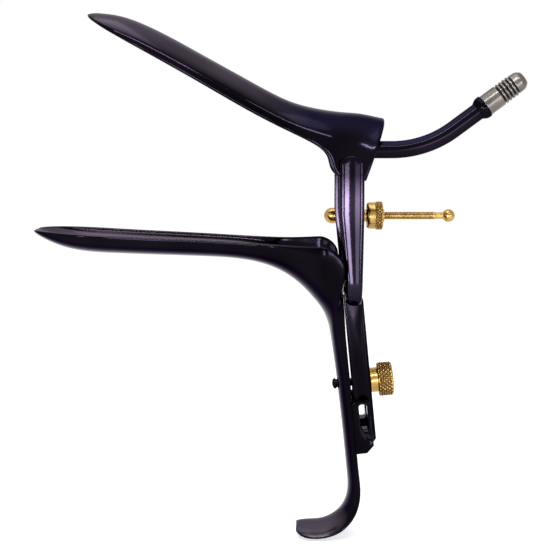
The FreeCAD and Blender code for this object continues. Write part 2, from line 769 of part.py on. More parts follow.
def smokeTube():
    """Bent pipe: its section is carried along each run and turned about the middle of each bend."""
    start, first, second, end = tubeCorners()
    solids = []
    last = start
    turns = ((start, first, second, size("tubeBendFront")), (first, second, end, size("tubeBendRear")))
    for before, corner, after, radius in turns:
        into = (corner - before).normalize()
        away = (after - corner).normalize()
        turn = into.getAngle(away)
        reach = radius * math.tan(turn / 2)
        enter, leave = corner - into * reach, corner + away * reach
        centre = corner + (away - into).normalize() * (radius / math.cos(turn / 2))
        solids.append(tubeSection(last, into).extrude(enter - last))
        solids.append(tubeSection(enter, into).revolve(centre, into.cross(away), math.degrees(turn)))
        last = leave
    solids.append(tubeSection(last, away).extrude(end - last))
    return solids[0].fuse(solids[1:])


fixedShape("smoke_tube", smokeTube())


def tubeSaddle(station):
    """Strap under the tube whose legs stand on the inside of the blade's crown."""
    wall, width = size("saddleWall"), size("saddleWidth")
    inner = size("tubeRadius") + 0.01
    outer = inner + wall
    front = Vector(-size("tubeStart"), 0, size("tubeStartHeight"))
    rear = Vector(-size("tubeBell"), 0, size("tubeBellHeight"))
    along = rear - front
    middle = front + along * ((size("tubeStart") - station) / along.x)
    ring = Part.makeCylinder(outer, width, Vector(0, 0, 0), Vector(1, 0, 0))
    legs = Part.makeBox(width, 2 * outer, 2 * outer, Vector(0, -outer, 0))
    bore = Part.makeCylinder(inner, width + 2, Vector(-1, 0, 0), Vector(1, 0, 0))
    gap = Part.makeBox(width + 2, 2 * inner, 3 * outer, Vector(-1, -inner, 0))
    strap = ring.fuse(legs).cut(bore.fuse(gap))
    strap.Placement = Placement(middle, Rotation(Vector(1, 0, 0), along))
    below = strap.cut(upperSolid).Solids
    return min(below, key=lambda piece: piece.CenterOfMass.z)


for label, station in (("tube_saddle_front", size("saddleFront")), ("tube_saddle_rear", size("saddleRear"))):
    fixedShape(label, tubeSaddle(station), openPose)

tubeEnd = tubeCorners()[3]
endTurn = Rotation(Vector(0, 0, 1), tubeEnd - tubeCorners()[2])
endPose = Placement(tubeEnd, endTurn)


def tubeCollar():
    """Flared end of the tube, bevelled at its shoulder, where the hose nipple is joined on."""
    radius, length = size("collarRadius"), size("collarLength")
    ring = Part.makeCylinder(radius, length, Vector(0, 0, -length))
    shoulder = [
        edge for edge in ring.Edges
        if abs(edge.CenterOfMass.z + length) < 0.01 and abs(edge.Length - 2 * math.pi * radius) < 0.01
    ]
    ring = ring.makeChamfer(size("collarBevel"), shoulder)
    return ring.cut(Part.makeCylinder(size("tubeRadius") + 0.02, 2 * length, Vector(0, 0, -1.5 * length)))


fixedShape("tube_collar", tubeCollar(), endPose)


def hoseNipple():
    """Plain sleeve, a row of ribs between grooves, and a bevelled cap, about one bore."""
    radius, capRadius, width = size("nippleRadius"), size("capRadius"), size("grooveWidth")
    pitch, depth = size("groovePitch"), size("grooveDepth")
    count = int(size("grooveCount"))
    capStart = size("nippleSleeve") + (count - 1) * pitch + width
    length = capStart + size("capLength")
    body = Part.makeCylinder(radius, capStart - width)
    neck = Part.makeCylinder(radius - depth, width, Vector(0, 0, capStart - width))
    cap = Part.makeCylinder(capRadius, size("capLength"), Vector(0, 0, capStart))
    tip = [
        edge for edge in cap.Edges
        if abs(edge.CenterOfMass.z - length) < 0.01 and abs(edge.Length - 2 * math.pi * capRadius) < 0.01
    ]
    cap = cap.makeChamfer(size("capBevel"), tip)
    grooves = []
    for i in range(count - 1):
        start = size("nippleSleeve") + i * pitch
        ring = Part.makeCylinder(radius + 1, width, Vector(0, 0, start))
        grooves.append(ring.cut(Part.makeCylinder(radius - depth, width + 2, Vector(0, 0, start - 1))))
    bore = Part.makeCylinder(size("nippleBore"), length + 2, Vector(0, 0, -1))
    return body.fuse([neck, cap]).cut(grooves).cut(bore)


fixedShape("hose_nipple", hoseNipple(), endPose)

doc.recompute()
for thing in doc.Objects:
    if "Invalid" in thing.State or "Error" in thing.State:
        raise RuntimeError("%s is in state %s" % (thing.Label, thing.State))
for thing in made:
    shape = thing.Shape
    if shape.isNull() or not shape.isValid() or not shape.Solids:
        raise RuntimeError("%s has no valid solid" % thing.Label)
for thing in made:
    thing.Shape.exportStep("parts/%s.step" % thing.Label)
    box = thing.Shape.BoundBox
    print("%-18s %8.1f mm3  x %.1f..%.1f  y %.1f..%.1f  z %.1f..%.1f" % (
        thing.Label, thing.Shape.Volume, box.XMin, box.XMax, box.YMin, box.YMax, box.ZMin, box.ZMax))
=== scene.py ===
import math

import bmesh
import bpy
import numpy as np
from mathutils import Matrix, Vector


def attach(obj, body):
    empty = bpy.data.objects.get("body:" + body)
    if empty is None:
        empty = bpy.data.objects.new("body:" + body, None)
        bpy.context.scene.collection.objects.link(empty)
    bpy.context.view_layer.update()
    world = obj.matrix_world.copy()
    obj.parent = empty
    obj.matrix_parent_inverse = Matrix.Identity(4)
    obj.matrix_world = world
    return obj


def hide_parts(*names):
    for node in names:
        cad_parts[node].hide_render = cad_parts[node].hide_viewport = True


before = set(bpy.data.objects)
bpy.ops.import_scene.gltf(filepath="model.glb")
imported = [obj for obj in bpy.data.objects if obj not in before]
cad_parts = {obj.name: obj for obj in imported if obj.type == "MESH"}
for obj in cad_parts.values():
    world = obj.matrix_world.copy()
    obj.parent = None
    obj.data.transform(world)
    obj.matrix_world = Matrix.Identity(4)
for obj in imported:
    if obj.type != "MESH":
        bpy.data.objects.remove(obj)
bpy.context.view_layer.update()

scene = bpy.context.scene
mm = 0.001
print("frame loaded:", len(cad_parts), "nodes")

# Camera and room.

view = {
    "eye": (-24.9, -469.3, 12.2),   # mm, in front of the instrument, level with the upper blade
    "pixelsPerUnit": 1277.4,        # focal length in pixels
    "horizon": 129.5,               # pixel row of the eye's level line
    "shift": -0.14,                 # the rest of the framing comes from looking down a little
    "frame": 560.0,                 # pixels on each side of the picture
    "sensor": 36.0,                 # mm
    "clip": (0.01, 20.0),           # metres
}


def addCamera():
    data = bpy.data.cameras.new("camera")
    data.sensor_width = view["sensor"]
    data.lens = view["pixelsPerUnit"] * view["sensor"] / view["frame"]
    data.clip_start, data.clip_end = view["clip"]
    data.shift_y = view["shift"]
    rows = view["frame"] / 2 - view["horizon"] + view["shift"] * view["frame"]
    pitch = math.atan2(rows, view["pixelsPerUnit"])
    camera = bpy.data.objects.new("camera", data)
    camera.location = [value * mm for value in view["eye"]]
    camera.rotation_euler = (math.pi / 2 - pitch, 0.0, 0.0)
    scene.collection.objects.link(camera)
    scene.camera = camera
    print("camera pitch %.2f degrees, shift %.3f" % (math.degrees(pitch), view["shift"]))


addCamera()
scene.view_settings.view_transform = "Standard"

# Shader maths: a socket that understands + - * and reads like a formula.


class Wire:
    def __init__(self, tree, socket):
        self.tree = tree
        self.socket = socket

    def node(self, kind, settings=None, inputs=None, output=0):
        made = self.tree.nodes.new(kind)
        for key, value in (settings or {}).items():
            setattr(made, key, value)
        for key, value in (inputs or {}).items():
            if isinstance(value, Wire):
                self.tree.links.new(value.socket, made.inputs[key])
            else:
                made.inputs[key].default_value = value
        return Wire(self.tree, made.outputs[output])

    def maths(self, operation, first, second=0.0, clamp=False):
        settings = {"operation": operation, "use_clamp": clamp}
        return self.node("ShaderNodeMath", settings, {0: first, 1: second})

    def __add__(self, other):
        return self.maths("ADD", self, other)

    __radd__ = __add__

    def __mul__(self, other):
        return self.maths("MULTIPLY", self, other)

    __rmul__ = __mul__

    def __sub__(self, other):
        return self.maths("SUBTRACT", self, other)

    def __rsub__(self, other):
        return self.maths("SUBTRACT", other, self)

    def clamped(self):
        return self.maths("ADD", self, 0.0, True)

    def above(self, level, growth):
        # 0 up to the level, then growing at this rate up to 1
        return ((self - level) * growth).clamped()

    def part(self, index):
        # one number of a vector: 0 is X, 1 is Y, 2 is Z
        return self.node("ShaderNodeSeparateXYZ", None, {0: self}, output=index)

    def mixed(self, first, second):
        # first colour where this wire is 0, second where it is 1
        return self.node(
            "ShaderNodeMix", {"data_type": "RGBA"}, {"Factor": self, 6: first, 7: second}, output=2
        )

    def into(self, shader, socketName):
        self.tree.links.new(self.socket, shader.inputs[socketName])


def newMaterial(name, constants):
    material = bpy.data.materials.new(name)
    material.use_nodes = True
    shader = material.node_tree.nodes["Principled BSDF"]
    for key, value in constants.items():
        shader.inputs[key].default_value = value
    tree = material.node_tree
    place = Wire(tree, tree.nodes.new("ShaderNodeTexCoord").outputs["Object"])
    return material, shader, place


def noise(place, scale, detail, stretch=None, slope=0.0):
    # stretch is a scale for each direction, after a turn by the slope about the Y axis
    spot = place
    if stretch:
        settings = {"Vector": place, "Rotation": (0.0, slope, 0.0), "Scale": stretch}
        spot = place.node("ShaderNodeMapping", None, settings)
    return place.node(
        "ShaderNodeTexNoise", {"normalize": True}, {"Vector": spot, "Scale": scale, "Detail": detail}
    )


def hollow(place):
    # how deep a point lies in a knurl or groove, from 0 to 1, kept with the piece's own points
    return place.node("ShaderNodeAttribute", {"attribute_name": "hollow"}, output=2).clamped()


def bumped(height, strength, distance):
    return height.node(
        "ShaderNodeBump", None, {"Height": height, "Strength": strength, "Distance": distance}
    )


coatingLook = {
    "black": (0.0030, 0.0024, 0.0040, 1.0),
    "violet": (0.0100, 0.0075, 0.0135, 1.0),
    "edgeTint": (0.50, 0.49, 0.52, 1.0),
    "paintedSheen": (0.084, 0.068, 0.090, 1.0),       # painted sheen: a reflection of overhead light painted on what faces up
    "paintedBlueSheen": (0.013, 0.012, 0.034, 1.0),   # the same painted sheen, bluer, over the hinge and the tube
    "roughness": (0.06, 0.14),
    "paintedSheenRoughness": 0.22,
    # noise scale, detail and stretch
    "clouds": (26.0, 2.0),
    "grain": (900.0, 2.0),
    "smears": (90.0, 3.0, (1.0, 1.0, 0.25)),
    "streaks": (60.0, 2.0, (0.25, 1.0, 1.0)),
    # the level above which something shows, and how fast it grows there
    "patches": (0.42, 3.0),
    "upward": (0.42, 2.2),
    "hingeSide": (-0.034, 50.0),     # metres along the instrument
    "hingeHeight": (-0.060, 100.0),  # metres
    "sheenSpanGrowth": 120.0,
    "streakShare": (1.1, 0.3),       # part of the painted sheen that comes in streaks, and part that doesn't
    "relief": (0.5, 0.5),            # shares of grain and clouds in the bump
    "bump": (0.05, 0.0004),          # strength and distance
}


def coatingMaterial(name, sheenGain=1.0, sheenSpan=None):
    # hard glossy black with a faint violet tint in large soft patches, and a painted sheen of
    # overhead light on what faces up; a painted highlight brightens a piece by a gain within a
    # span of heights in metres, and the gain fades outside the span; without a span there is no gain
    look = coatingLook
    material, shader, place = newMaterial(name, {"Metallic": 1.0, "Specular Tint": look["edgeTint"]})
    cloud, grain, smear, streak = [
        noise(place, *look[key]) for key in ("clouds", "grain", "smears", "streaks")
    ]
    upward = place.node("ShaderNodeTexCoord", output="Normal").part(2)
    along, height = place.part(0), place.part(2)
    share, least = look["streakShare"]
    # painted sheen: surfaces that face up get a lighter colour, partly in streaks, standing for the
    # reflection of overhead light
    paintedSheen = upward.above(*look["upward"]) * (streak * share + least).clamped()
    # where the painted sheen is bluer: over the hinge and the tube
    blueSheenAtHinge = along.above(*look["hingeSide"]) * height.above(*look["hingeHeight"])
    paintedSheenColour = blueSheenAtHinge.mixed(look["paintedSheen"], look["paintedBlueSheen"])
    patch = cloud.above(*look["patches"])
    tint = patch.mixed(look["black"], look["violet"])
    # painted highlight: between the span's heights the black and violet are made brighter by the gain
    if sheenSpan:
        lowest, highest = sheenSpan
        growth = look["sheenSpanGrowth"]
        bright = [tuple(value * sheenGain for value in look[key][:3]) + (1.0,) for key in ("black", "violet")]
        withinSheenSpan = height.above(lowest, growth) * ((highest - height) * growth).clamped()
        tint = withinSheenSpan.mixed(tint, patch.mixed(*bright))
    paintedSheen.mixed(tint, paintedSheenColour).into(shader, "Base Color")
    low, high = look["roughness"]
    (smear * (high - low) + low + paintedSheen * look["paintedSheenRoughness"]).into(shader, "Roughness")
    grainShare, cloudShare = look["relief"]
    bumped(grain * grainShare + cloud * cloudShare, *look["bump"]).into(shader, "Normal")
    return material


brassLook = {
    "bright": (0.50, 0.31, 0.095, 1.0),
    "deep": (0.19, 0.100, 0.026, 1.0),
    "hollowPaintedShade": (0.040, 0.019, 0.006, 1.0),
    "roughness": (0.16, 0.30),
    "clouds": (220.0, 3.0),
    "patches": (0.35, 1.6),
    "lines": (500.0, 2.0, (6.0, 0.2, 0.2)),
    "bump": (0.15, 0.0001),
}

steelLook = {
    "bright": (0.165, 0.150, 0.138, 1.0),
    "deep": (0.060, 0.054, 0.050, 1.0),
    "hollowPaintedShade": (0.010, 0.009, 0.009, 1.0),
    "roughness": (0.20, 0.34),
    "clouds": (160.0, 2.0),
    "patches": (0.35, 1.5),
    "lines": (420.0, 2.0, (9.0, 0.3, 0.3), math.radians(36.5)),   # the slope is the nipple's
    "bump": (0.08, 0.0001),
}


def turnedMetal(name, look):
    # fine turning lines over soft patches of tarnish, with painted shade in grooves and knurls
    material, shader, place = newMaterial(name, {"Metallic": 1.0})
    cloud, lines = noise(place, *look["clouds"]), noise(place, *look["lines"])
    tint = cloud.above(*look["patches"]).mixed(look["bright"], look["deep"])
    # painted shade: the deeper a point lies in a knurl or groove, the darker its colour
    hollow(place).mixed(tint, look["hollowPaintedShade"]).into(shader, "Base Color")
    low, high = look["roughness"]
    (lines * (high - low) + low).into(shader, "Roughness")
    bumped(lines, *look["bump"]).into(shader, "Normal")
    return material


# painted shade: the end stop's pin is coloured dark to stand for the shade in the ball's cross-hole
pinHoleShadeLook = {
    "deep": (0.05, 0.045, 0.04, 1.0),
    "bright": (0.14, 0.12, 0.10, 1.0),
    "roughness": (0.35, 0.55),
    "clouds": (600.0, 2.0),
}


def pinHoleShadeMaterial():
    look = pinHoleShadeLook
    material, shader, place = newMaterial("pinHoleShadeSteel", {"Metallic": 1.0})
    cloud = noise(place, *look["clouds"])
    cloud.mixed(look["deep"], look["bright"]).into(shader, "Base Color")
    low, high = look["roughness"]
    (cloud * (high - low) + low).into(shader, "Roughness")
    return material


coating = coatingMaterial("glossyCoating")
# painted highlight: the yoke bow's coating is five times brighter between these heights in metres
armPaintedHighlightCoating = coatingMaterial("armPaintedHighlightCoating", 5.0, (-0.053, -0.004))
# painted highlight: the tube's coating is 1.4 times brighter all over
tubePaintedHighlightCoating = coatingMaterial("tubePaintedHighlightCoating", 1.4, (-0.100, 0.100))
brass = turnedMetal("turnedBrass", brassLook)
steel = turnedMetal("turnedSteel", steelLook)
pinHoleShadeSteel = pinHoleShadeMaterial()
finishes = {"black_coating": coating, "brass": brass, "stainless_steel": steel}
print("materials ready")

openAngle = 27.5   # degrees from the closed upper blade to the photograph's
leanAngle = 5.5    # degrees between the stem and the upright
leanSlope = math.tan(math.radians(leanAngle))

# Mesh tools. Lengths are millimetres until addPiece.


def gridFaces(rows, columns, wrapRows=False, wrapColumns=False):
    # quads between neighbours of a grid of points numbered row by row
    rowEnd = rows if wrapRows else rows - 1
    columnEnd = columns if wrapColumns else columns - 1
    i, j = np.meshgrid(np.arange(rowEnd), np.arange(columnEnd), indexing="ij")
    nextI, nextJ = (i + 1) % rows, (j + 1) % columns
    corners = [i * columns + j, i * columns + nextJ, nextI * columns + nextJ, nextI * columns + j]
    return np.stack([corner.ravel() for corner in corners], axis=1)


sameSpot = 1e-7   # metres


def addPiece(name, surface, body, slotName, replaced=(), material=None):
    # a surface is its points in millimetres, its faces and, where it is cut, how deep each point
    # lies; doubles are merged, which also closes seams and poles
    points, faces, *cut = surface
    mesh = bpy.data.meshes.new(name)
    mesh.from_pydata((np.asarray(points) * mm).tolist(), [], np.asarray(faces).tolist())
    for depth in cut:
        mesh.attributes.new("hollow", "FLOAT", "POINT").data.foreach_set("value", np.ravel(depth))
    work = bmesh.new()
    work.from_mesh(mesh)
    bmesh.ops.remove_doubles(work, verts=work.verts, dist=sameSpot)
    bmesh.ops.recalc_face_normals(work, faces=work.faces)
    work.to_mesh(mesh)
    work.free()
    mesh.shade_smooth()
    mesh.materials.append(material or finishes[slotName])
    piece = bpy.data.objects.new(name, mesh)
    scene.collection.objects.link(piece)
    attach(piece, body)
    if replaced:
        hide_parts(*replaced)
    return piece


def turnedAboutHinge(points, degrees):
    # turn about the hinge axis, which is the Y axis
    angle = math.radians(degrees)
    x, y, z = points[..., 0], points[..., 1], points[..., 2]
    turnedX = x * math.cos(angle) + z * math.sin(angle)
    turnedZ = z * math.cos(angle) - x * math.sin(angle)
    return np.stack([turnedX, y, turnedZ], axis=-1)


def smoothRun(knots, values, positions):
    # natural cubic spline through the values, one column per quantity
    gaps = np.diff(knots)[:, None]
    slopes = np.diff(values, axis=0) / gaps
    count = len(knots)
    system = np.eye(count)
    inner = np.arange(1, count - 1)
    system[inner, inner - 1] = gaps[:-1, 0]
    system[inner, inner] = 2 * (gaps[:-1, 0] + gaps[1:, 0])
    system[inner, inner + 1] = gaps[1:, 0]
    change = np.zeros_like(values)
    change[1:-1] = 6 * np.diff(slopes, axis=0)
    bend = np.linalg.solve(system, change)
    left = np.clip(np.searchsorted(knots, positions, side="right") - 1, 0, count - 2)
    step, ahead = gaps[left], (positions - knots[left])[:, None]
    start = slopes[left] - step * (2 * bend[left] + bend[left + 1]) / 6
    growth = (bend[left + 1] - bend[left]) / (6 * step)
    return values[left] + ahead * (start + ahead * (bend[left] / 2 + ahead * growth))


sheetShape = {
    "wall": 1.6,
    "control": 0.6,      # a section's first control point, as a share of the half width
    "endSpans": 0.9,     # part of a span in which the rows crowd at each end
    "sideShare": 0.05,   # share of the width in which the columns crowd at each side
    "crowding": (0.0, 0.04, 0.12, 0.26, 0.48, 0.74),
}


def crowded(count, edge):
    # numbers from 0 to 1, closer together near both ends
    inner = np.linspace(edge, 1 - edge, count)
    start = edge * np.array(sheetShape["crowding"])
    return np.concatenate([start, inner, (1 - start)[::-1]])


def pressedSheet(stations, side, perStation, columns):
    # an arched section is carried along the stations; the two faces are the middle surface moved
    # out and in by a half wall that falls to nothing along a quarter circle at every edge
    # a station is the crown's x and z, the rim's x and z, the half width and the sides' steepness
    wall, control = sheetShape["wall"], sheetShape["control"]
    stations = np.asarray(stations, float)
    crown, rim = stations[:, :2], stations[:, 2:4]
    shoulder = np.column_stack([crown + (rim - crown) * (1 - stations[:, 5:]), stations[:, 4]])
    beside = np.column_stack([crown, control * stations[:, 4]])
    steps = sum(np.linalg.norm(np.diff(line, axis=0), axis=1) for line in (shoulder, beside))
    knots = np.concatenate([[0], np.cumsum(steps)])
    spans = len(stations) - 1
    positions = crowded(spans * perStation + 1, sheetShape["endSpans"] / spans) * knots[-1]
    crownX, crownZ, rimX, rimZ, halfWidth, steepness = [
        column[:, None] for column in smoothRun(knots, stations, positions).T
    ]
    across = crowded(columns + 1, sheetShape["sideShare"])[None, :] * 2 - 1
    run = np.abs(across)
    early, late = 3 * (1 - run) ** 2 * run, 3 * (1 - run) * run ** 2
    sideways = halfWidth * (control * early + late + run ** 3) * np.sign(across)
    down = late * (1 - steepness) + run ** 3
    outer = np.stack([
        crownX + (rimX - crownX) * down, sideways, crownZ + (rimZ - crownZ) * down], axis=-1)
    normal = np.cross(np.gradient(outer, axis=0), np.gradient(outer, axis=1))
    normal /= np.linalg.norm(normal, axis=-1, keepdims=True) + 1e-12
    middle = outer + normal * wall * side / 2

    def fromEdge(axis):
        step = np.linalg.norm(np.diff(outer, axis=axis), axis=-1)
        padding = [(0, 0), (0, 0)]
        padding[axis] = (1, 0)
        ahead = np.cumsum(np.pad(step, padding), axis=axis)
        total = ahead[-1:, :] if axis == 0 else ahead[:, -1:]
        return np.minimum(ahead, total - ahead)

    inside = np.minimum(fromEdge(0), fromEdge(1)) / (wall / 2)
    thickness = wall / 2 * np.sqrt(1 - (1 - np.minimum(inside, 1)) ** 2)
    faces = [middle + normal * thickness[..., None], middle - normal * thickness[..., None]]
    rows, count = outer.shape[:2]
    quads = gridFaces(rows, count)
    points = np.concatenate([face.reshape(-1, 3) for face in faces])
    return points, np.concatenate([quads, quads[:, ::-1] + rows * count])


def roundedLoop(corners, radius, steps=4, most=0.45):
    # closed line whose corners are cut off by short curves; a curve starts at the radius from its
    # corner, but takes no larger share of the shorter side than the most
    corners = np.asarray(corners, float)
    before, after = np.roll(corners, 1, axis=0) - corners, np.roll(corners, -1, axis=0) - corners
    lengths = [np.linalg.norm(way, axis=1, keepdims=True) for way in (before, after)]
    reach = np.minimum(radius, most * np.minimum(*lengths))
    start = (corners + before / lengths[0] * reach)[:, None]
    end = (corners + after / lengths[1] * reach)[:, None]
    part = np.linspace(0, 1, steps + 1)[None, :, None]
    arcs = (1 - part) ** 2 * start + 2 * part * (1 - part) * corners[:, None] + part ** 2 * end
    return arcs.reshape(-1, corners.shape[1])


def refined(line, step):
    # the same line with more points, no two further apart than the step
    lengths = np.linalg.norm(np.diff(line, axis=0), axis=1)
    along = np.concatenate([[0], np.cumsum(lengths)])
    positions = np.unique(np.concatenate([along, np.arange(0, along[-1], step)]))
    return np.stack([np.interp(positions, along, column) for column in line.T], axis=1)


def revolved(profile, start, direction, segments, relief=None):
    # profile rows are (distance along the axis, radius); relief adds to the radius by angle; the
    # points and faces come back with how deep the relief cuts at each point, from 0 to 1
    # known fault: the circle starts in the Y direction, so an axis along Y gives a line, no solid
    profile = np.asarray(profile, float)
    angle = np.linspace(0, 2 * math.pi, segments, endpoint=False)
    along = np.repeat(profile[:, :1], segments, axis=1)
    radius = np.repeat(profile[:, 1:], segments, axis=1)
    depth = np.zeros_like(radius)
    if relief is not None:
        cut = relief(along, radius, angle[None, :])
        depth = cut / cut.min()
        radius = radius + cut
    axis = np.asarray(direction, float) / np.linalg.norm(direction)
    first = np.array([0.0, 1.0, 0.0])
    second = np.cross(axis, first)
    ring = np.cos(angle)[:, None] * first + np.sin(angle)[:, None] * second
    points = np.asarray(start, float) + along[..., None] * axis + radius[..., None] * ring[None]
    closed = np.allclose(profile[0], profile[-1])
    if closed:
        points, depth = points[:-1], depth[:-1]
    return points.reshape(-1, 3), gridFaces(len(points), segments, closed, True), depth


def roundedLine(corners, radius):
    # open line: only the corners between its ends are rounded
    loop = roundedLoop(corners, radius)
    steps = len(loop) // len(corners)
    return np.vstack([[corners[0]], loop[steps:-steps], [corners[-1]]])


def closedLoop(corners, radius, step):
    # closed line with rounded corners, whose last point is its first
    loop = roundedLoop(corners, radius)
    return refined(np.vstack([loop, loop[:1]]), step)


def bentLine(corners, radii, step, arcSteps=200):
    # straight runs joined by arcs that touch them, as evenly spaced points
    pieces = [corners[:1]]
    for before, corner, after, radius in zip(corners, corners[1:], corners[2:], radii):
        into = (corner - before) / np.linalg.norm(corner - before)
        away = (after - corner) / np.linalg.norm(after - corner)
        turn = math.acos(np.clip(into @ away, -1, 1))
        side = away - into * math.cos(turn)
        side /= np.linalg.norm(side)
        sweep = np.linspace(0, turn, arcSteps)[:, None]
        enter = corner - into * radius * math.tan(turn / 2)
        pieces.append(enter + radius * (np.sin(sweep) * into + (1 - np.cos(sweep)) * side))
    line = np.vstack(pieces + [corners[-1:]])
    along = np.concatenate([[0], np.cumsum(np.linalg.norm(np.diff(line, axis=0), axis=1))])
    even = np.linspace(0, along[-1], int(along[-1] / step) + 1)
    return np.stack([np.interp(even, along, column) for column in line.T], axis=1)


edgeWork = {"sameSpot": 2e-6, "flat": 1.5, "sharp": 35.0}   # metres, degrees, degrees


def bevelledCopy(node, width, segments, body, slotName, below=None):
    # the frame's own solid with its flat faces joined up and its edges rounded; below a level
    # only, its open top is drawn up a little so that it ends inside the piece above
    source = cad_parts[node]
    mesh = source.data.copy()
    work = bmesh.new()
    work.from_mesh(mesh)
    bmesh.ops.remove_doubles(work, verts=work.verts, dist=edgeWork["sameSpot"])
    flat = math.radians(edgeWork["flat"])
    bmesh.ops.dissolve_limit(work, angle_limit=flat, verts=work.verts, edges=work.edges)
    if below:
        level, rise = below
        geometry = work.verts[:] + work.edges[:] + work.faces[:]
        kept = bmesh.ops.bisect_plane(
            work, geom=geometry, plane_co=(0, 0, level * mm), plane_no=(0, 0, 1), clear_outer=True)
        rim = [item for item in kept["geom_cut"] if isinstance(item, bmesh.types.BMVert)]
        bmesh.ops.translate(work, verts=rim, vec=(-rise * leanSlope * mm, 0, rise * mm))
        bmesh.ops.holes_fill(work, edges=[edge for edge in work.edges if edge.is_boundary])
    bmesh.ops.recalc_face_normals(work, faces=work.faces)
    work.to_mesh(mesh)
    work.free()
    mesh.materials.clear()
    mesh.materials.append(finishes[slotName])
    mesh.shade_smooth()
    piece = bpy.data.objects.new(node + "_edged", mesh)
    scene.collection.objects.link(piece)
    bevel = piece.modifiers.new("edges", "BEVEL")
    bevel.width = width * mm
    bevel.segments = segments
    bevel.limit_method = "ANGLE"
    bevel.angle_limit = math.radians(edgeWork["sharp"])
    bevel.harden_normals = True
    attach(piece, body)
    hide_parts(node)
    return piece


# Blades.

ear = 20.0   # half width over the ears

upperBladeShape = {
    "side": -1, "perStation": 8, "columns": 72,
    "stations": [
        (-108.8, 4.4, -108.8, 3.5, 4.0, 0.55), (-107.4, 5.5, -107.6, 3.1, 7.6, 0.55),
        (-104.0, 7.1, -104.4, 2.6, 11.6, 0.55), (-98.5, 9.0, -99.0, 2.1, 14.8, 0.55),
        (-90.5, 10.3, -90.5, 1.8, 16.8, 0.55), (-79.0, 10.7, -79.0, 1.5, 17.4, 0.55),
        (-64.0, 10.4, -64.0, 1.0, 16.8, 0.55), (-48.0, 10.0, -48.0, 0.3, 15.8, 0.55),
        (-37.0, 9.8, -36.0, 0.0, 15.6, 0.55), (-29.0, 10.2, -26.0, 0.1, ear - 3.6, 0.55),
        (-22.0, 11.6, -17.5, 0.3, ear - 1.6, 0.57), (-15.8, 13.5, -11.0, 0.0, ear - 0.3, 0.60),
        (-10.0, 15.7, -6.6, -1.9, ear, 0.62), (-5.0, 17.8, -3.6, -5.0, ear, 0.62),
        (-0.5, 19.2, 0.8, -6.4, ear, 0.62), (2.8, 20.1, 5.2, -5.0, ear, 0.62),
        (4.3, 20.6, 7.6, -2.5, ear, 0.62),
    ],
}

grip = 11.0   # half width of the handle

lowerBladeShape = {
    "side": 1, "perStation": 6, "columns": 72,
    "stations": [
        (-115.0, -25.2, -115.0, -24.4, 4.0, 0.55), (-113.6, -26.2, -113.8, -24.3, 8.0, 0.55),
        (-110.5, -27.9, -110.8, -24.3, 12.2, 0.55), (-105.0, -30.3, -105.2, -24.5, 15.6, 0.55),
        (-97.0, -32.2, -97.0, -24.9, 17.6, 0.55), (-85.0, -33.1, -85.0, -25.6, 18.2, 0.55),
        (-69.0, -33.7, -69.0, -26.4, 17.6, 0.55), (-52.0, -34.3, -52.0, -27.2, 16.6, 0.55),
        (-39.0, -35.3, -38.0, -28.0, 16.4, 0.55), (-30.0, -37.3, -27.0, -28.6, 17.8, 0.56),
        (-22.6, -40.7, -18.5, -28.9, 20.8, 0.58), (-16.6, -45.4, -11.8, -28.9, 23.4, 0.62),
        (-12.0, -50.4, -7.0, -29.6, 24.8, 0.64), (-9.2, -54.3, -3.4, -32.6, 25.0, 0.62),
        (-7.6, -58.0, -2.0, -37.0, 24.9, 0.58), (-6.6, -62.0, -2.4, -43.5, 20.8, 0.55),
        (-5.9, -66.0, -1.8, -51.0, 16.4, 0.50), (-5.2, -70.5, -1.2, -59.0, grip + 2.2, 0.45),
        (-4.4, -76.0, -0.4, -68.5, grip + 0.4, 0.42), (-3.2, -86.0, 0.8, -82.0, grip, 0.40),
        (-1.5, -101.0, 2.5, -99.5, grip, 0.40), (-0.2, -114.0, 3.9, -114.5, grip, 0.40),
        (0.2, -120.0, 4.4, -121.0, grip, 0.40), (-0.5, -124.8, 3.2, -127.2, grip, 0.40),
        (-2.6, -128.9, 0.2, -132.2, grip - 0.2, 0.40), (-6.2, -131.9, -4.4, -135.8, grip - 0.6, 0.40),
        (-10.2, -133.4, -9.8, -137.3, grip - 0.7, 0.40), (-13.6, -133.6, -13.9, -137.4, grip - 1.0, 0.40),
        (-16.3, -133.7, -16.6, -137.1, grip - 2.0, 0.40), (-18.3, -134.0, -18.5, -136.4, grip - 3.8, 0.40),
        (-19.2, -134.4, -19.3, -135.7, grip - 5.6, 0.40),
    ],
}


def addBlades():
    # the upper blade is shaped closed and then opened
    points, faces = pressedSheet(**upperBladeShape)
    surface = turnedAboutHinge(points, openAngle), faces
    addPiece("upperBladeSheet", surface, "upper", "black_coating", ["upper_blade"])
    surface = pressedSheet(**lowerBladeShape)
    addPiece("lowerBladeSheet", surface, "lower", "black_coating", ["lower_blade"])
    print("blades pressed")


addBlades()

# Yoke, stem and lever.

yokeShape = {
    "inner": 20.4, "wall": 2.0, "front": 4.0, "rear": 4.8, "rearLow": 4.1, "crown": 3.0, "bend": 18.0,
    "depth": 51.0, "radius": 9.0, "dome": 2.3, "inside": 6.0, "edge": -0.3, "crownWall": 10,
    "ring": 64, "step": 0.6, "crownSteps": 13,
}


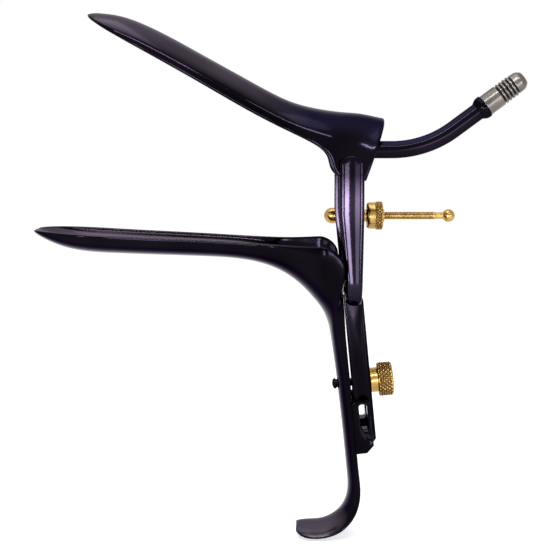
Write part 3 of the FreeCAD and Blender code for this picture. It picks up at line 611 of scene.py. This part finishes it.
def addYokeBow():
    # a strip of sheet that runs up both arms, with a domed outer face and rounded edges
    shape = yokeShape
    half, low = shape["inner"] + shape["wall"] / 2, shape["wall"] / 2 - shape["depth"]
    corners = np.array([(-half, 0), (-half, low), (half, low), (half, 0)])
    bow = bentLine(corners, [shape["radius"] - 1] * 2, shape["step"])
    rise = shape["crown"] * np.sin(np.linspace(0, math.pi / 2, shape["crownSteps"] + 1))[1:]
    left = np.stack([np.full(len(rise), -half), rise[::-1]], axis=1)
    path = np.vstack([left, bow, left[::-1] * (-1, 1)])
    along = np.gradient(path, axis=0)
    along /= np.linalg.norm(along, axis=1, keepdims=True)
    outward = np.stack([along[:, 1], -along[:, 0]], axis=1)
    height = path[:, 1]
    lower = np.clip(-shape["bend"] - height, 0, None)
    front = lower * leanSlope - shape["front"]
    share = lower / (shape["depth"] + 1 - shape["bend"])
    rear = shape["rear"] + (shape["rearLow"] - shape["rear"]) * share
    top = np.clip(height / shape["crown"], 0, 1)
    halfWidth = (rear - front) / 2 * np.sqrt(1 - top ** 2)
    wall = shape["wall"] / 2 * np.sqrt(1 - top ** shape["crownWall"])
    angle = np.linspace(0, 2 * math.pi, shape["ring"], endpoint=False)
    power = np.where(np.sin(angle) >= 0, shape["dome"], shape["inside"])
    reach = (np.abs(np.cos(angle)) ** power + np.abs(np.sin(angle)) ** power) ** (-1 / power)
    across, out = np.cos(angle) * reach, np.sin(angle) * reach
    out = shape["edge"] + out * np.where(out >= 0, 1 - shape["edge"], 1 + shape["edge"])
    out = out[None] * wall[:, None]
    x = ((front + rear) / 2)[:, None] + halfWidth[:, None] * across[None]
    y = path[:, :1] + out * outward[:, :1]
    z = path[:, 1:] + out * outward[:, 1:]
    points = np.stack([x, y, z], axis=-1).reshape(-1, 3)
    surface = points, gridFaces(len(path), shape["ring"], False, True)
    # the bow's coating carries a painted highlight on the arms
    addPiece("yokeBow", surface, "yoke", "black_coating", ["yoke_frame"], armPaintedHighlightCoating)


lugShape = {
    "front": -2.0, "wall": 1.8, "half": 4.4, "inner": 21.0, "side": 29.0, "drop": 21.4, "edge": 0.4,
    "endSteps": 33, "sideSteps": 9, "edgeSteps": 6,
}


def addRodLug():
    # flat ear square to the rod, round at its outer end
    shape = lugShape
    turn = np.linspace(-math.pi / 2, math.pi / 2, shape["endSteps"])
    half = shape["half"]
    end = np.stack([shape["side"] + half * np.cos(turn), half * np.sin(turn)], axis=1)
    side = np.linspace(shape["inner"], shape["side"], shape["sideSteps"])[:-1]
    bottom = np.stack([side, np.full(len(side), -half)], axis=1)
    loop = np.vstack([bottom, end, bottom[::-1] * (1, -1)])
    middle = np.array([(shape["inner"] + shape["side"] + half) / 2, 0])
    reach = np.linalg.norm(loop - middle, axis=1, keepdims=True)
    edge, wall = shape["edge"], shape["wall"]
    corner = np.linspace(0, math.pi / 2, shape["edgeSteps"])
    inset = np.concatenate([edge * (1 - np.sin(corner)), edge * (1 - np.sin(corner[::-1]))])
    depth = np.concatenate([edge * (1 - np.cos(corner)), wall - edge * (1 - np.cos(corner[::-1]))])
    rings = middle + (loop - middle) * (1 - inset[:, None, None] / reach)
    rings = np.concatenate([rings[:1] * 0 + middle, rings, rings[:1] * 0 + middle])
    depth = np.concatenate([[0], depth, [wall]])
    x = np.broadcast_to(shape["front"] + depth[:, None], rings.shape[:2])
    points = np.stack([x, rings[..., 0], rings[..., 1] - shape["drop"]], axis=-1).reshape(-1, 3)
    surface = points, gridFaces(len(rings), len(loop), False, True)
    addPiece("rodLug", surface, "yoke", "black_coating", ["yoke_frame"])


# Node: width and segments of its rounded edges, its body, and the level and rise of its top.
edgedNodes = {
    "yoke_frame": (0.5, 4, "yoke", (-51.05, 1.4)),
    "stem_guides": (0.35, 3, "yoke", None),
    "thumb_lever": (0.35, 3, "upper", None),
    "tube_saddle_front": (0.2, 2, "upper", None),
    "tube_saddle_rear": (0.2, 2, "upper", None),
}


def addYoke():
    addYokeBow()
    addRodLug()
    for node, (width, segments, body, below) in edgedNodes.items():
        bevelledCopy(node, width, segments, body, "black_coating", below)
    print("yoke formed and edges rounded")


screwShape = {
    "radius": 2.2, "height": 1.1, "face": 22.4, "shank": 1.75, "inner": 17.5, "round": 0.3,
    "chamfer": (0.4, 0.72),   # shares of the head's height and radius
    "step": 0.5, "segments": 48,
}


def addHingeScrews():
    shape = screwShape
    sunk, narrow = shape["chamfer"]
    end = shape["height"] + shape["face"] - shape["inner"]
    corners = [
        (0, 0), (0, shape["radius"] * narrow), (shape["height"] * sunk, shape["radius"]),
        (shape["height"], shape["radius"]), (shape["height"], shape["shank"]),
        (end, shape["shank"]), (end, 0),
    ]
    profile = refined(roundedLine(corners, shape["round"]), shape["step"])
    for side, name in ((-1, "left"), (1, "right")):
        start = (0, side * (shape["face"] + shape["height"]), 0)
        surface = revolved(profile, start, (0, -side, 0), shape["segments"])
        addPiece("hingeScrew_" + name, surface, "yoke", "black_coating", ["hinge_screw_" + name])


addYoke()
addHingeScrews()

# Rod and nuts.

rodShape = {
    "side": 29.0, "drop": 21.4, "radius": 1.5, "start": -6.5, "length": 42.0, "round": 0.2,
    "pitch": 0.5, "thread": 0.07, "threadEnd": 0.3, "perPitch": 7, "segments": 28,
    "neck": 1.3, "neckLength": 2.9, "neckEnd": 0.5, "ball": 2.5, "ballSteps": 49, "ballSegments": 64,
    "pin": 0.6, "pinProud": 0.12, "pinRound": 0.15, "pinAxis": (0, 1, 0.0001), "pinSegments": 32,
    "acorn": 3.1, "acornLength": 5.7, "lug": -2.0, "acornSteps": 24,
    "acornEdge": ((0, -0.25), (0.12, -0.06), (0.3, 0)),   # along the axis, and beside the radius
    "step": 0.4,
}


def threaded(radius, pitch, depth, start, end):
    # height of a rounded vee thread on its own angle and distance along the axis; it is cut only
    # where the rod has nearly its full radius
    def relief(along, radiusHere, angle):
        phase = along / pitch - angle / (2 * math.pi)
        wave = np.abs((phase % 1.0) * 2 - 1)
        fade = np.clip((along - start) / pitch, 0, 1) * np.clip((end - along) / pitch, 0, 1)
        return -depth * wave * fade * (radiusHere > radius * 0.98)
    return relief


def addRod():
    shape = rodShape
    base = np.array([0.0, shape["side"], -shape["drop"]])
    axis = (1, 0, 0)
    start, end = shape["start"], shape["start"] + shape["length"]
    ballCentre = end + shape["neckLength"] + shape["ball"]
    neckEnd = ballCentre - shape["neckEnd"]
    corners = [
        (start, 0), (start, shape["radius"]), (end, shape["radius"]), (end, shape["neck"]),
        (neckEnd, shape["neck"]), (neckEnd, 0),
    ]
    profile = refined(roundedLine(corners, shape["round"]), shape["pitch"] / shape["perPitch"])
    first, last = start + shape["threadEnd"], end - shape["threadEnd"]
    relief = threaded(shape["radius"], shape["pitch"], shape["thread"], first, last)
    surface = revolved(profile, base, axis, shape["segments"], relief)
    addPiece("threadedRod", surface, "yoke", "brass", ["angle_rod"])

    turn = np.linspace(0, math.pi, shape["ballSteps"])
    ball = np.stack([ballCentre - shape["ball"] * np.cos(turn), shape["ball"] * np.sin(turn)], axis=1)
    surface = revolved(ball, base, axis, shape["ballSegments"])
    addPiece("rodEndBall", surface, "yoke", "brass", ["rod_end_stop"])

    # the pin passes through the ball and stands a little proud of it on both sides
    radius = shape["pin"]
    reach = math.sqrt(shape["ball"] ** 2 - radius ** 2) + shape["pinProud"]
    corners = [(-reach, 0), (-reach, radius), (reach, radius), (reach, 0)]
    profile = refined(roundedLine(corners, shape["pinRound"]), shape["step"])
    surface = revolved(profile, base + (ballCentre, 0, 0), shape["pinAxis"], shape["pinSegments"])
    # the pin takes the painted shade of the cross-hole
    addPiece("endBallPin", surface, "yoke", "stainless_steel", ["end_stop_pin"], pinHoleShadeSteel)

    acorn = shape["acorn"]
    dome = shape["acornLength"] - acorn
    turn = np.linspace(0, math.pi / 2, shape["acornSteps"])
    edge = [(ahead, acorn + out) for ahead, out in shape["acornEdge"]]
    profile = np.vstack([
        [(0, shape["radius"])] + edge,
        np.stack([dome + acorn * np.sin(turn), acorn * np.cos(turn)], axis=1),
    ])
    place = base + (shape["lug"], 0, 0)
    surface = revolved(refined(profile, shape["step"]), place, (-1, 0, 0), shape["ballSegments"])
    addPiece("rodAcornNut", surface, "yoke", "brass", ["rod_acorn_nut"])
    print("rod turned")


addRod()

nutShape = {
    "angle": {
        "start": 7.05, "boss": 2.4, "bossLength": 1.8, "nose": 5.25, "noseLength": 3.3, "radius": 5.6,
        "length": 3.0, "ring": 2.5, "ringLength": 0.6, "bore": 1.56, "chamfer": 0.45,
        "round": 0.15, "bossRound": 0.4, "noseRound": 2.4, "stepRound": 0.05, "step": 0.2,
        "count": 26, "knurl": 0.36, "twist": 1.0, "margin": 0.3,
    },
    "height": {
        "depth": 0.79, "drop": 81.0, "neck": 4.6, "neckLength": 2.7, "radius": 6.3, "length": 5.6,
        "bore": 1.56, "frontChamfer": 0.5, "rearChamfer": 0.7, "dish": 0.35, "dishWall": (1.6, 1.2),
        "round": 0.12, "step": 0.14,
        "count": 24, "knurl": 0.5, "twist": 1.0, "frontMargin": 0.35, "rearMargin": 0.5,
        "ribPitch": 0.42, "ribDepth": 0.07, "ribStart": 0.3, "ribEnd": 0.2, "ribReach": 0.1,
    },
    "perTooth": 12, "fade": 0.25, "rim": 0.3,
}


def diamondKnurl(radius, start, end, count, depth, slope):
    # two crossing sets of grooves; a point is as low as the deeper groove that passes it
    def relief(along, radiusHere, angle):
        turns = angle * count / (2 * math.pi)
        lean = along * slope * count / (2 * math.pi * radius)
        waves = [np.abs((turns + sign * lean) % 1.0 * 2 - 1) for sign in (-1, 1)]
        length = nutShape["fade"]
        fade = np.clip((along - start) / length, 0, 1) * np.clip((end - along) / length, 0, 1)
        groove = 1 - np.minimum(waves[0], waves[1])
        return -depth * groove * fade * (radiusHere > radius - nutShape["rim"])
    return relief


def addAngleNut():
    shape = nutShape["angle"]
    nose, rim, bore, chamfer = shape["nose"], shape["radius"], shape["bore"], shape["chamfer"]
    step = shape["bossLength"] + shape["noseLength"]
    face = step + shape["length"]
    ring = face + shape["ringLength"]
    corners = [
        (0, bore), (0, shape["boss"]), (shape["bossLength"], shape["boss"]), (shape["bossLength"], nose),
        (step, nose), (step, rim - chamfer), (step + chamfer, rim), (face - chamfer, rim),
        (face, rim - chamfer), (face, shape["ring"]), (ring, shape["ring"]), (ring, bore),
    ]
    radii = np.full(len(corners), shape["round"])
    radii[1], radii[3], radii[4] = shape["bossRound"], shape["noseRound"], shape["stepRound"]
    profile = closedLoop(corners, radii[:, None], shape["step"])
    start, end = step + shape["margin"], face - shape["margin"]
    relief = diamondKnurl(rim, start, end, shape["count"], shape["knurl"], shape["twist"])
    base = (shape["start"], rodShape["side"], -rodShape["drop"])
    surface = revolved(profile, base, (1, 0, 0), shape["count"] * nutShape["perTooth"], relief)
    addPiece("angleNutTurned", surface, "angle_nut", "brass", ["angle_nut"])


def addHeightNut():
    shape = nutShape["height"]
    rim, neck, bore = shape["radius"], shape["neckLength"], shape["bore"]
    front, rear = shape["frontChamfer"], shape["rearChamfer"]
    outerDish, innerDish = [bore + wall for wall in shape["dishWall"]]
    end = neck + shape["length"]
    corners = [
        (0, bore), (0, shape["neck"]), (neck, shape["neck"]), (neck, rim - front), (neck + front, rim),
        (end - rear, rim), (end, rim - rear), (end, outerDish), (end - shape["dish"], innerDish),
        (end - shape["dish"], bore),
    ]
    profile = closedLoop(corners, shape["round"], shape["step"])
    first, last = neck + shape["frontMargin"], end - shape["rearMargin"]
    knurl = diamondKnurl(rim, first, last, shape["count"], shape["knurl"], shape["twist"])

    def relief(along, radiusHere, angle):
        # the knurl on the rim and fine ribs round the neck
        fine = np.abs((along / shape["ribPitch"]) % 1.0 * 2 - 1)
        withinSheenSpan = (along > shape["ribStart"]) * (along < neck - shape["ribEnd"])
        onNeck = (np.abs(radiusHere - shape["neck"]) < shape["ribReach"]) * withinSheenSpan
        return knurl(along, radiusHere, angle) - shape["ribDepth"] * fine * onNeck

    start = turnedAboutHinge(np.array([shape["depth"], 0.0, -shape["drop"]]), -leanAngle)
    axis = turnedAboutHinge(np.array([1.0, 0.0, 0.0]), -leanAngle)
    surface = revolved(profile, start, axis, shape["count"] * nutShape["perTooth"], relief)
    addPiece("heightNutTurned", surface, "height_nut", "brass", ["height_nut"])


addAngleNut()
addHeightNut()
print("nuts knurled")

studShape = {
    "front": -11.94, "end": 8.49, "drop": 81.0, "radius": 1.5, "head": 2.0, "headHeight": 1.5,
    "headRim": 0.3, "headDome": 0.7,   # shares of the head's height
    "round": 0.2, "step": 0.08, "headSteps": 14, "segments": 32,
    "pitch": 0.5, "thread": 0.12, "threadStart": 0.4, "threadEnd": 0.2,
}


def addStud():
    shape = studShape
    front, end, radius, head = shape["front"], shape["end"], shape["radius"], shape["head"]
    turn = np.linspace(0, math.pi / 2, shape["headSteps"])
    height = shape["headHeight"] * (shape["headRim"] + shape["headDome"] * np.cos(turn))
    dome = np.stack([front - height, head * np.sin(turn)], axis=1)
    corners = [dome[-1], (front, head), (front, radius), (end, radius), (end, 0)]
    shank = roundedLine(corners, shape["round"])
    profile = refined(np.vstack([dome, shank[1:]]), shape["step"])
    first, last = front + shape["threadStart"], end - shape["threadEnd"]
    relief = threaded(radius, shape["pitch"], shape["thread"], first, last)
    base = turnedAboutHinge(np.array([0.0, 0.0, -shape["drop"]]), -leanAngle)
    axis = turnedAboutHinge(np.array([1.0, 0.0, 0.0]), -leanAngle)
    surface = revolved(profile, base, axis, shape["segments"], relief)
    addPiece("heightStudTurned", surface, "lower", "black_coating", ["height_stud"])
    print("stud turned")


addStud()

# Smoke tube and nipple.

tubeShape = {
    "radius": 3.2, "bore": 2.4, "start": 76.0, "startHeight": 5.5, "bell": 34.0, "bellHeight": 4.75,
    "rise": 4.8, "corner": 28.7, "endAngle": 36.5, "endLength": 26.9, "bends": (16.0, 38.0),
    "ring": 48, "step": 1.2, "lipSteps": 9,
}


def tubeCorners():
    shape = tubeShape
    start = turnedAboutHinge(np.array([-shape["start"], 0.0, shape["startHeight"]]), openAngle)
    under = turnedAboutHinge(np.array([-shape["bell"], 0.0, shape["bellHeight"]]), openAngle)
    first = start + (under - start) * (shape["rise"] - start[2]) / (under[2] - start[2])
    second = np.array([shape["corner"], 0.0, shape["rise"]])
    angle = math.radians(shape["endAngle"])
    end = second + np.array([math.cos(angle), 0.0, math.sin(angle)]) * shape["endLength"]
    return np.array([start, first, second, end])


def addTube():
    shape = tubeShape
    path = bentLine(tubeCorners(), shape["bends"], shape["step"])
    along = np.gradient(path, axis=0)
    along /= np.linalg.norm(along, axis=1, keepdims=True)
    lip = np.linspace(0, math.pi, shape["lipSteps"])[1:-1]
    wall = (shape["radius"] - shape["bore"]) / 2
    middle = (shape["radius"] + shape["bore"]) / 2
    count = len(path)
    # out along the path, over the flat end inside the nipple, back through the bore and over the
    # rounded front lip
    order = np.concatenate([
        np.arange(count), np.full(len(lip), count - 1), np.arange(count)[::-1], np.zeros(len(lip), int)])
    radius = np.concatenate([
        np.full(count, shape["radius"]), middle + wall * np.cos(lip),
        np.full(count, shape["bore"]), middle - wall * np.cos(lip)])
    ahead = np.concatenate([np.zeros(count), 0 * lip, np.zeros(count), -wall * np.sin(lip)])
    angle = np.linspace(0, 2 * math.pi, shape["ring"], endpoint=False)
    tangent = along[order]
    sideways = np.array([0.0, 1.0, 0.0])
    upwards = np.cross(tangent, sideways)
    ring = np.cos(angle)[None, :, None] * sideways + np.sin(angle)[None, :, None] * upwards[:, None]
    centre = path[order] + tangent * ahead[:, None]
    points = centre[:, None] + ring * radius[:, None, None]
    surface = points.reshape(-1, 3), gridFaces(len(points), shape["ring"], True, True)
    # the tube's coating carries a painted highlight
    addPiece("smokeTubeBent", surface, "upper", "black_coating", ["smoke_tube"], tubePaintedHighlightCoating)
    print("tube bent, %.1f mm long" % np.linalg.norm(np.diff(path, axis=0), axis=1).sum())


addTube()

nippleShape = {
    "radius": 4.0, "bore": 1.6, "sleeve": 6.4, "pitch": 1.45, "groove": 0.75, "depth": 0.5, "count": 5,
    "grooveSide": 0.12, "cap": 3.8, "capLength": 4.4, "capEnd": (1.6, 0.15), "taper": 3.3, "tipEdge": 0.9,
    "faceRounds": (0.1, 0.2), "grooveRounds": (0.18, 0.06, 0.06, 0.18), "capRounds": (2.2, 0.5, 0.3),
    "step": 0.3, "segments": 96, "paintedShadeAbove": 0.2, "boreAbove": 0.5,
}

collarShape = {
    "radius": 4.35, "length": 3.6, "tube": 3.22, "taper": 0.5,   # share of the length that tapers
    "rounds": (0.3, 1.2, 0.3, 0.1), "step": 0.2, "segments": 64,
}


def addNipple():
    shape = nippleShape
    end = tubeCorners()[3]
    axis = end - tubeCorners()[2]
    rim, bore, cap, side = shape["radius"], shape["bore"], shape["cap"], shape["grooveSide"]
    low = rim - shape["depth"]
    corners, radii = [(0, bore), (0, rim)], list(shape["faceRounds"])
    for k in range(shape["count"]):
        start = shape["sleeve"] + k * shape["pitch"]
        stop = start + shape["groove"]
        after = rim if k < shape["count"] - 1 else cap
        corners += [(start, rim), (start + side, low), (stop - side, low), (stop, after)]
        radii += shape["grooveRounds"]
    length = stop + shape["capLength"]
    back, lower = shape["capEnd"]
    corners += [(length - back, cap - lower), (length, shape["taper"] - shape["tipEdge"]), (length, bore)]
    radii += shape["capRounds"]
    profile = closedLoop(corners, np.array(radii)[:, None], shape["step"])
    points, faces, flat = revolved(profile, end, axis, shape["segments"])
    ahead, radius = profile[:-1].T
    # painted shade: the floors of the grooves count as fully hollow, so they take the dark colour
    grooved = (radius < low + shape["paintedShadeAbove"]) * (radius > bore + shape["boreAbove"]) * (ahead < stop)
    surface = points, faces, flat + grooved[:, None]
    addPiece("hoseNippleTurned", surface, "upper", "stainless_steel", ["hose_nipple"])

    shape = collarShape
    corners = [
        (-shape["length"], shape["tube"]), (-shape["length"] * shape["taper"], shape["radius"]),
        (0, shape["radius"]), (0, shape["tube"]),
    ]
    profile = closedLoop(corners, np.array(shape["rounds"])[:, None], shape["step"])
    surface = revolved(profile, end, axis, shape["segments"])
    addPiece("tubeCollarRing", surface, "upper", "black_coating", ["tube_collar"])
    print("nipple turned")


addNipple()

# Floor and light.

roomLook = {
    "floor": -138.4,     # mm
    "floorSize": 8.0,    # metres
    "floorColour": (0.93, 0.93, 0.93, 1.0), "floorRoughness": 0.9,
    "floorGlow": (0.02, 0.02, 0.02, 1.0),   # the light the floor casts on things by itself
    "floorSeen": (0.55, 0.55, 0.55, 1.0),   # the same as the camera and glosses see it
    "world": 0.50, "worldColour": (1.0, 1.0, 1.0, 1.0),
}


def seenRay(tree):
    # 1 for what the camera, a gloss or a clear piece shows, 0 for the light that falls on things
    rays = tree.nodes.new("ShaderNodeLightPath")
    seen = Wire(tree, rays.outputs["Is Camera Ray"]) + Wire(tree, rays.outputs["Is Glossy Ray"])
    return (seen + Wire(tree, rays.outputs["Is Transmission Ray"])).clamped()


def addRoom():
    look = roomLook
    size = look["floorSize"]
    corners = np.array([(-size, -size), (size, -size), (size, size), (-size, size)]) / 2
    mesh = bpy.data.meshes.new("floor")
    mesh.from_pydata([(x, y, look["floor"] * mm) for x, y in corners.tolist()], [], [(0, 1, 2, 3)])
    floor = bpy.data.objects.new("floor", mesh)
    scene.collection.objects.link(floor)
    material, shader, place = newMaterial("paleFloor", {
        "Base Color": look["floorColour"], "Roughness": look["floorRoughness"],
        "Specular IOR Level": 0.0, "Emission Strength": 1.0,
    })
    seenRay(place.tree).mixed(look["floorGlow"], look["floorSeen"]).into(shader, "Emission Color")
    mesh.materials.append(material)

    world = bpy.data.worlds.new("room")
    world.use_nodes = True
    scene.world = world
    background = world.node_tree.nodes["Background"]
    background.inputs["Color"].default_value = look["worldColour"]
    (seenRay(world.node_tree) * (1.0 - look["world"]) + look["world"]).into(background, "Strength")


# Lamp name: place and aim in metres, width and height in metres, power in watts.
lamps = {
    "topPanel": ((-0.15, -0.05, 0.75), (-0.02, 0.0, 0.0), (0.75, 0.6), 2.6),
    "frontPanel": ((-0.09, -0.54, -0.07), (0.0, 0.0, -0.05), (0.13, 0.12), 1.40),
    "sidePanel": ((0.16, -0.52, -0.07), (0.0, 0.0, -0.05), (0.16, 0.12), 0.40),
    "leftStrip": ((-0.30, -0.54, -0.07), (0.0, 0.0, -0.04), (0.03, 0.14), 0.80),
    "rightStrip": ((0.42, -0.50, -0.02), (0.0, 0.0, -0.04), (0.05, 0.16), 0.75),
    "ridgeStrip": ((-0.02, -0.36, 0.42), (0.0, 0.0, 0.0), (0.40, 0.018), 1.50),
}


def addLamps():
    for name, (place, aim, size, power) in lamps.items():
        data = bpy.data.lights.new(name, "AREA")
        data.shape = "RECTANGLE"
        data.size, data.size_y = size
        data.energy = power
        lamp = bpy.data.objects.new(name, data)
        lamp.location = place
        lamp.rotation_euler = (Vector(aim) - Vector(place)).to_track_quat("-Z", "Y").to_euler()
        scene.collection.objects.link(lamp)
    print("room lit")


addRoom()
addLamps()
